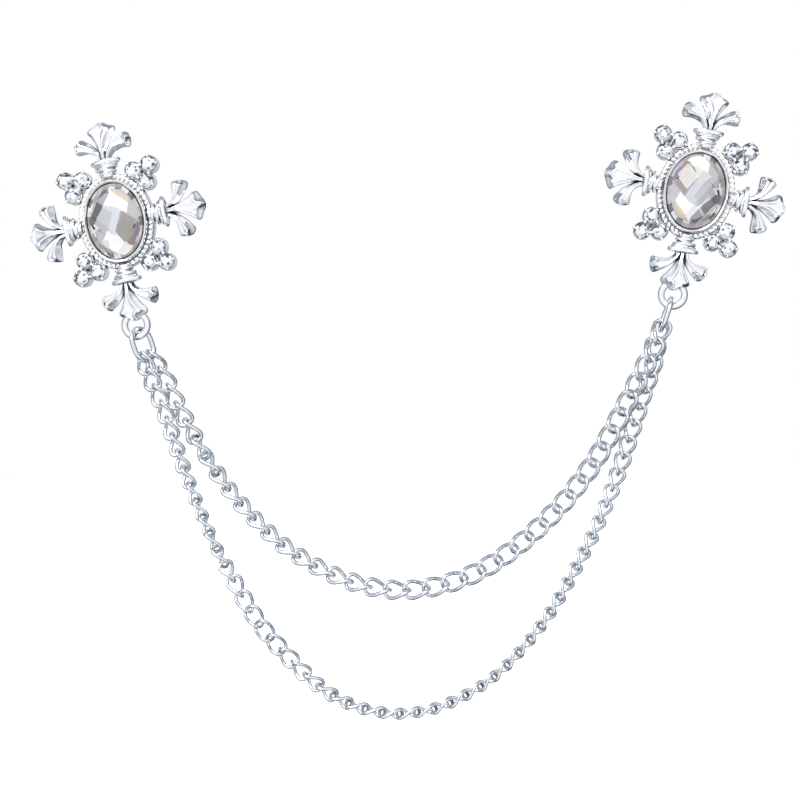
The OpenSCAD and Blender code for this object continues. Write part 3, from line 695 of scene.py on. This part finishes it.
def crystal_shape():
    """A checkerboard cut: turned square facets on a dome, and a flat foiled back."""
    a, b = CRYSTAL_A - CRYSTAL_EASE, CRYSTAL_B - CRYSTAL_EASE
    outline = oval(a, b, 0, 48)
    planes = []
    c, s = math.cos(math.radians(FACET_TURN)), math.sin(math.radians(FACET_TURN))
    top = GIRDLE_Z + GIRDLE_H
    for i in range(-FACET_ROWS, FACET_ROWS + 1):
        for j in range(-FACET_ROWS, FACET_ROWS + 1):
            u, v = i * FACET_CELL, j * FACET_CELL
            x, y = u * c - v * s, u * s + v * c
            away = math.hypot(x, y)
            if away > FACET_REACH:
                continue
            settle = DOME * FACET_CELL ** 2 / 2
            if away > FACET_HOLD:
                x, y = FACET_HOLD * x / away, FACET_HOLD * y / away
                settle *= HOLD_SETTLE
            z = top + DOME * (1 - x * x - y * y) - settle
            normal = Vector((2 * DOME * x / a, 2 * DOME * y / b, 1)).normalized()
            planes.append((Vector((a * x, b * y, z)), normal))
    low = PLATE_T + FIT_GAP
    for k in range(BACK_FACETS):
        t = 2 * math.pi * (k + 0.5) / BACK_FACETS
        drop, run = GIRDLE_Z - low, 1 - CRYSTAL_BACK
        out = Vector((math.cos(t) / a, math.sin(t) / b, -run / drop)).normalized()
        planes.append((Vector((a * math.cos(t), b * math.sin(t), GIRDLE_Z)), out))
    lines = []
    for colour, corners in CRYSTAL_LIGHT_PATCHES:
        lines += list(zip(corners, corners[1:] + corners[:1]))
    for k in range(RIM_FACETS // 2):
        t, half = 2 * math.pi * k / RIM_FACETS, 2 * math.pi / RIM_FACETS
        lines.append(((0, 0), (a * math.cos(t), b * math.sin(t))))
        lines.append(tuple((RIM_FROM * a * math.cos(2 * t + h), RIM_FROM * b * math.sin(2 * t + h))
                           for h in (-half, half)))
    verts, faces = cut_solid(outline, low, top + DOME, planes, lines)
    heights = [sum(verts[i].z for i in face) / len(face) for face in faces]
    return Shape(verts, faces, [1 if z < GIRDLE_Z - 0.01 else 0 for z in heights])


def crystal_painted_light(centre):
    """A facet's painted reflection or shade, by the patch that it lies in."""
    for colour, corners in CRYSTAL_LIGHT_PATCHES:
        if inside(corners, centre.x, centre.y):
            return colour
    turn = math.atan2(centre.y / CRYSTAL_B, centre.x / CRYSTAL_A) / (2 * math.pi)
    away = math.hypot(centre.x / CRYSTAL_A, centre.y / CRYSTAL_B)
    sector = math.floor(turn * RIM_FACETS) % RIM_FACETS
    return CRYSTAL_RIM_LIGHT[(5 * sector + (3 if away > RIM_FROM + 0.02 else 0)) % len(CRYSTAL_RIM_LIGHT)]


# A brilliant, as shares of its girdle's radius: the table's corners, the table's middle facets,
# the stars' outer ends and the back's facets; then in mm its ease, girdle, crown and depth
TABLE_R, TABLE_MIDDLE_R, STAR_R, HALVES_R = 0.56, 0.34, 0.8, 0.42
STONE_EASE, STONE_GIRDLE, CROWN_H, BACK_H = 0.02, 0.12, 0.62, 1.1
# How high in the crown the stars end, and how deep in the back its facets start, as shares
STAR_HIGH, HALVES_DEEP = 0.5, 0.62


def brilliant_shape():
    """A round brilliant: table, stars, kites, upper and lower halves, foiled pavilion."""
    r = STONE_R - STONE_EASE
    low, high = STONE_Z, STONE_Z + STONE_GIRDLE
    rings = ((TABLE_R * r, high + CROWN_H, 8, 0), (STAR_R * r, high + CROWN_H * STAR_HIGH, 8, 0.5),
             (r, high, 16, 0), (r, low, 16, 0), (HALVES_R * r, low - BACK_H * HALVES_DEEP, 8, 0.5),
             (0, low - BACK_H, 1, 0), (TABLE_MIDDLE_R * r, high + CROWN_H, 8, 0.5),
             (0, high + CROWN_H, 1, 0))
    # Where each ring's points start: table, stars, girdle above and below, back's facets, the
    # back's point, the table's middle facets and its middle
    verts, starts = [], []
    for radius, z, count, shift in rings:
        starts.append(len(verts))
        verts += oval(radius, radius, z, count, shift)
    t, s, g, w, h, c, i, o = starts
    faces, slots = [], []
    for k in range(8):
        n, m = (k + 1) % 8, (k - 1) % 8
        top = [(t + k, t + n, i + k), (i + k, t + n, i + n), (o, i + k, i + n),
               (t + k, t + n, s + k),
               (t + k, s + k, g + 2 * k, s + m),
               (s + k, g + 2 * k, g + 2 * k + 1),
               (s + k, g + 2 * k + 1, g + (2 * k + 2) % 16)]
        girdle = [(g + 2 * k, g + 2 * k + 1, w + 2 * k + 1, w + 2 * k),
                  (g + 2 * k + 1, g + (2 * k + 2) % 16, w + (2 * k + 2) % 16, w + 2 * k + 1)]
        back = [(h + k, w + 2 * k, w + 2 * k + 1),
                (h + k, w + 2 * k + 1, w + (2 * k + 2) % 16),
                (c, h + m, w + 2 * k, h + k)]
        faces += top + girdle + back
        slots += [0] * 7 + [0] * 2 + [1] * 3
    return Shape(verts, faces, slots)


def paint_facet_light(obj, place, choose):
    """Paints each facet with its own reflection, glint or shade, chosen by its middle in the
    stone's own frame.
    """
    mesh = obj.data
    back = place.inverted()
    layer = mesh.color_attributes.new("facet_light_paint", "BYTE_COLOR", "CORNER")
    for polygon in mesh.polygons:
        colour = choose(back @ (polygon.center / MM))
        for loop in polygon.loop_indices:
            layer.data[loop].color = (*colour, 1)


def stadium(radius, reach, steps=20, straight_steps=6):
    """The middle line of a connector, hanging from its top wire's middle."""
    points = []
    straight = reach - 2 * radius
    for k in range(steps):
        t = math.pi * k / steps
        points.append(Vector((radius * math.cos(t), 0, radius * math.sin(t) - radius)))
    for k in range(straight_steps):
        points.append(Vector((-radius, 0, -radius - straight * k / straight_steps)))
    for k in range(steps):
        t = math.pi + math.pi * k / steps
        points.append(Vector((radius * math.cos(t), 0,
                              radius * math.sin(t) - radius - straight)))
    for k in range(straight_steps):
        points.append(Vector((radius, 0, -radius - straight + straight * k / straight_steps)))
    return points


def eye_of(side):
    return at_side(side) @ Vector((0, EYE_Y, EYE_Z))


def connector_place(side):
    """Hung in the eye ring, leaning and turned."""
    return (Matrix.Translation(eye_of(side)) @ turned(HANG[side], "Y")
            @ moved(0, 0, -CONNECTOR_DROP) @ turned(TURN[side], "Z"))


def bend_of(side, off):
    """The middle of the wire in a connector's lower bend, off to one side."""
    drop = CONNECTOR_R - CONNECTOR_REACH - math.sqrt(CONNECTOR_R ** 2 - off ** 2)
    return connector_place(side) @ Vector((off, 0, drop))


def point_at(points, lengths, s):
    """The point a distance s along a line."""
    if s <= 0:
        return points[0]
    for i in range(len(points) - 1):
        if s <= lengths[i + 1]:
            return points[i].lerp(points[i + 1],
                                  (s - lengths[i]) / (lengths[i + 1] - lengths[i]))
    return points[-1]


def running(points):
    """How far along a line each of its points lies."""
    lengths = [0.0]
    for a, b in zip(points, points[1:]):
        lengths.append(lengths[-1] + (b - a).length)
    return lengths


def link_frames(index):
    """The place of each link of a chain, worked out as in the source."""
    step, width, wire = CHAINS[index]
    sign = 1 if index == 0 else -1
    start, end = bend_of("left", sign * STRAND_APART), bend_of("right", -sign * STRAND_APART)
    flat = [Vector((x, z)) for x, z in ((start.x, start.z), *ROUTES[index], (end.x, end.z))]
    way = spline(flat, ROUTE_STEPS)
    lengths = running(way)
    whole = lengths[-1]
    line = []
    for p, s in zip(way, lengths):
        spread = lookup(SPREAD, s) - lookup(SPREAD, whole - s)
        line.append(Vector((p.x, start.y + (end.y - start.y) * s / whole + sign * spread, p.y)))
    lengths = running(line)
    whole = lengths[-1]
    length = step + wire + LINK_GAP
    lead = length / 2 - (wire + CONNECTOR_WIRE) / 2 - END_GAP
    steps = math.ceil((whole - 2 * lead) / step)
    pace = (whole - 2 * lead) / steps
    places = []
    for i in range(steps + 1):
        s = lead + i * pace
        ahead = (point_at(line, lengths, min(s + step / 2, whole))
                 - point_at(line, lengths, max(s - step / 2, 0))).normalized()
        level = Vector((0, -1, 0)).cross(ahead).normalized()
        front = ahead.cross(level)
        roll = math.radians(lookup(ROLLS[index], s / whole))
        face = front * math.cos(roll) + level * math.sin(roll)
        across = face.cross(ahead)
        middle = point_at(line, lengths, s)
        places.append(Matrix(((ahead.x, across.x, face.x, middle.x),
                              (ahead.y, across.y, face.y, middle.y),
                              (ahead.z, across.z, face.z, middle.z), (0, 0, 0, 1))))
    return places, length, width - wire, wire


# A drawn link's wire as a share of the source's
LINK_SLIM = 0.97


def link_mesh(length, width, wire, around=44, sides=12):
    """A curb link: an oval ring of wire, twisted and its faces rolled slightly flat."""
    rows = []
    for i in range(around):
        t = 2 * math.pi * i / around
        middle = Vector((length / 2 * math.cos(t), width / 2 * math.sin(t),
                         LINK_TWIST * width * math.sin(2 * t)))
        along = Vector((-length / 2 * math.sin(t), width / 2 * math.cos(t),
                        2 * LINK_TWIST * width * math.cos(2 * t))).normalized()
        out = (middle - along * middle.dot(along)).normalized()
        up = along.cross(out)
        ring = []
        for k in range(sides):
            a = 2 * math.pi * (k + 0.5) / sides
            ring.append(middle + wire / 2 * LINK_SLIM * (out * math.cos(a) + up * math.sin(a)))
        rows.append(ring)
    return rows_to_faces(rows, True)


def chain_piece(index, name):
    places, length, width, wire = link_frames(index)
    shape = Shape()
    verts, faces = link_mesh(length, width, wire)
    for place in places:
        shape.add(verts, faces, place)
    return piece(name + "_links", shape, [CHAIN], [name], sharp=60)


CRYSTAL = crystal_shape()
BRILLIANT = brilliant_shape()
# Painted light on a brilliant's facets: glints and bright reflections, then dark reflections
PAINTED_GLINTS = ((1.0, 1.0, 1.0), (1.0, 1.0, 1.0), (1.0, 1.0, 1.0), (0.97, 0.98, 1.0),
           (0.9, 0.93, 0.96), (0.72, 0.76, 0.8))
PAINTED_DARK = ((0.42, 0.47, 0.53), (0.2, 0.24, 0.3), (0.11, 0.14, 0.18), (0.05, 0.07, 0.1))
# The share of facets painted with dark reflections: in a stone's middle, up to this share of its
# radius; then round it, how much more upwards, and how far that leans to the left
CALM_DULL, CALM_R, RIM_DULL, UPPER_DULL, LEAN = 0.06, 0.4, 0.33, 0.2, 0.4
SEED = 40


def brilliant_painted_light(centre, dice):
    """Painted glints in a stone's middle; round it some painted dark reflections, most of them
    above.
    """
    x, y = centre.x / STONE_R, centre.y / STONE_R
    calm = math.hypot(x, y) < CALM_R
    share = CALM_DULL if calm else RIM_DULL + UPPER_DULL * (y - LEAN * x)
    return dice.choice(PAINTED_DARK if dice.random() < share else PAINTED_GLINTS)


def placed(other, place):
    """A copy of a shape in its place."""
    shape = Shape()
    shape.join(other, place)
    return shape


for number, side in enumerate(SIDES):
    place = at_side(side)
    for part, shape in setting_shapes(side).items():
        piece(f"{side}_{part}", placed(shape, place), [CAST], [f"{side}_setting"],
              sharp=42)
    set_in = place @ turned(180 * number, "Z")
    obj = piece(f"{side}_crystal_cut", placed(CRYSTAL, set_in), [CRYSTAL_GLASS, CRYSTAL_FOIL],
                [f"{side}_crystal"])
    paint_facet_light(obj, set_in, crystal_painted_light)
    dice = random.Random(SEED + number)
    for index, c in enumerate((c for group in CLUSTERS for c in group), 1):
        cup = place @ moved(c.x, c.y, 0)
        stone = placed(BRILLIANT, cup @ turned(dice.uniform(0, 45), "Z"))
        obj = piece(f"{side}_brilliant_{index}", stone, [BRILLIANT_GLASS, BRILLIANT_FOIL],
                    [f"{side}_stone_{index}"])
        paint_facet_light(obj, cup, lambda centre: brilliant_painted_light(centre, dice))
    link = Shape(*tube(stadium(CONNECTOR_R, CONNECTOR_REACH), CONNECTOR_WIRE, 16,
                       Vector((0, 1, 0))))
    piece(f"{side}_connector_ring", placed(link, connector_place(side)), [CHAIN],
          [f"{side}_connector"], sharp=60)
    tack = placed(Shape(*lathe(TACK)), place @ moved(0, 0, -FIT_GAP))
    piece(f"{side}_tack_post", tack, [STEEL], [f"{side}_post"], sharp=35)

for index, name in enumerate(("short_chain", "long_chain")):
    chain_piece(index, name)

# The surroundings' colours by direction, 0 behind the object and 1 before it: on the bright
# side, and on the dark one, to the lower right
BRIGHT = ((0.0, (0.46, 0.49, 0.53)), (0.07, (0.7, 0.73, 0.77)), (0.15, (0.8, 0.83, 0.86)),
          (0.21, (0.46, 0.49, 0.54)), (0.3, (0.27, 0.3, 0.35)), (0.5, (0.3, 0.33, 0.38)),
          (0.62, (0.52, 0.56, 0.61)), (0.72, (0.76, 0.79, 0.83)), (0.83, (0.98, 0.99, 1.01)),
          (0.9, (1.14, 1.14, 1.16)), (0.96, (1.0, 1.0, 1.02)), (1.0, (0.9, 0.92, 0.94)))
DARK = ((0.0, (0.38, 0.41, 0.46)), (0.07, (0.62, 0.65, 0.7)), (0.14, (0.72, 0.75, 0.79)),
        (0.19, (0.26, 0.29, 0.33)), (0.26, (0.08, 0.1, 0.12)), (0.34, (0.03, 0.04, 0.055)),
        (0.43, (0.05, 0.06, 0.08)), (0.52, (0.18, 0.21, 0.25)), (0.62, (0.36, 0.4, 0.45)),
        (0.72, (0.62, 0.66, 0.7)), (0.82, (0.92, 0.94, 0.97)), (0.91, (1.06, 1.06, 1.08)),
        (1.0, (0.84, 0.87, 0.9)))
DARK_SIDE, DARK_FROM, DARK_FULL = (0.75, 0, -0.9), 0.5, 0.7


def studio():
    """White surroundings with the grey and dark parts that polished metal shows."""
    world = bpy.data.worlds.new("studio")
    bpy.context.scene.world = world
    world.use_nodes = True
    nodes, links = world.node_tree.nodes, world.node_tree.links
    nodes.clear()
    out = nodes.new("ShaderNodeOutputWorld")

    def worked(kind, operation, *values):
        """A maths node on sockets and plain values."""
        node = nodes.new(kind)
        node.operation = operation
        for which, value in enumerate(values):
            if isinstance(value, bpy.types.NodeSocket):
                links.new(value, node.inputs[which])
            else:
                fill(node, {which: value})
        return node

    def towards(direction):
        dot = worked("ShaderNodeVectorMath", "DOT_PRODUCT", unit, Vector(direction).normalized())
        half = worked("ShaderNodeMath", "MULTIPLY_ADD", dot.outputs["Value"], 0.5, 0.5)
        return half.outputs[0]

    # Directions bent a little by noise, so that reflections aren't ruled lines
    place = nodes.new("ShaderNodeTexCoord").outputs["Generated"]
    wobble = noise(nodes, links, place, 1.6, 1.5).outputs["Color"]
    bent = worked("ShaderNodeVectorMath", "MULTIPLY_ADD", wobble, (0.5, 0.5, 0.5), place)
    centred = worked("ShaderNodeVectorMath", "SUBTRACT", bent.outputs[0], (0.25, 0.25, 0.25))
    unit = worked("ShaderNodeVectorMath", "NORMALIZE", centred.outputs[0]).outputs[0]
    front = towards((0, -1, 0))
    choose = ((DARK_FROM, (0, 0, 0)), (DARK_FULL, (1, 1, 1)))
    mix = nodes.new("ShaderNodeMix")
    mix.data_type = "RGBA"
    links.new(ramp(nodes, links, towards(DARK_SIDE), choose), mix.inputs["Factor"])
    links.new(ramp(nodes, links, front, BRIGHT), mix.inputs["A"])
    links.new(ramp(nodes, links, front, DARK), mix.inputs["B"])
    # The camera sees white; everything else sees the colours
    seen = nodes.new("ShaderNodeBackground")
    fill(seen, {"Color": (1, 1, 1, 1), "Strength": 1.0})
    mirrored = nodes.new("ShaderNodeBackground")
    fill(mirrored, {"Strength": 1.0})
    links.new(mix.outputs["Result"], mirrored.inputs["Color"])
    either = nodes.new("ShaderNodeMixShader")
    ray = nodes.new("ShaderNodeLightPath")
    links.new(ray.outputs["Is Camera Ray"], either.inputs[0])
    links.new(mirrored.outputs[0], either.inputs[1])
    links.new(seen.outputs[0], either.inputs[2])
    links.new(either.outputs[0], out.inputs[0])


studio()

# In metres
FLOOR_AT, FLOOR_R = (0.06, 0, -0.16), 3.0
KEY_AT, KEY_AIM, KEY_SIZE, KEY_POWER = (-0.25, -0.6, 0.5), (0.06, 0, -0.04), 0.5, 5.5

floor_mesh = bpy.data.meshes.new("floor")
work = bmesh.new()
bmesh.ops.create_circle(work, cap_ends=True, segments=96, radius=FLOOR_R)
work.to_mesh(floor_mesh)
work.free()
floor = bpy.data.objects.new("floor", floor_mesh)
floor.location = FLOOR_AT
bpy.context.scene.collection.objects.link(floor)
pale = shaded("pale_floor", {"Base Color": (0.95, 0.95, 0.95, 1), "Roughness": 0.9,
                             "Emission Color": (1, 1, 1, 1), "Emission Strength": 0.9})[0]
floor.data.materials.append(pale)
floor.visible_glossy = floor.visible_transmission = floor.visible_diffuse = False

key = bpy.data.lights.new("key", "AREA")
key.shape = "DISK"
key.size = KEY_SIZE
key.energy = KEY_POWER
key_obj = bpy.data.objects.new("key", key)
key_obj.location = KEY_AT
aim = Vector(KEY_AIM) - key_obj.location
key_obj.rotation_euler = aim.to_track_quat("-Z", "Y").to_euler()
bpy.context.scene.collection.objects.link(key_obj)

# The photo: mm to a pixel, its width, the pixels from the object's origin to its middle, and
# how much more than its width the camera takes in; then the camera's distance in mm
PIXEL, PHOTO_WIDE, MIDDLE_X, MIDDLE_Z, MARGIN = 0.2105, 800, 282.3, -178.5, 1.003
DISTANCE, SENSOR = 470, 36
camera = bpy.data.cameras.new("camera")
camera.sensor_width = SENSOR
camera.lens = SENSOR * DISTANCE / (PHOTO_WIDE * PIXEL * MARGIN)
camera_obj = bpy.data.objects.new("camera", camera)
camera_obj.location = Vector((MIDDLE_X * PIXEL, -DISTANCE, MIDDLE_Z * PIXEL)) * MM
camera_obj.rotation_euler = (math.radians(90), 0, 0)
bpy.context.scene.collection.objects.link(camera_obj)
bpy.context.scene.camera = camera_obj
bpy.context.scene.view_settings.view_transform = "Standard"
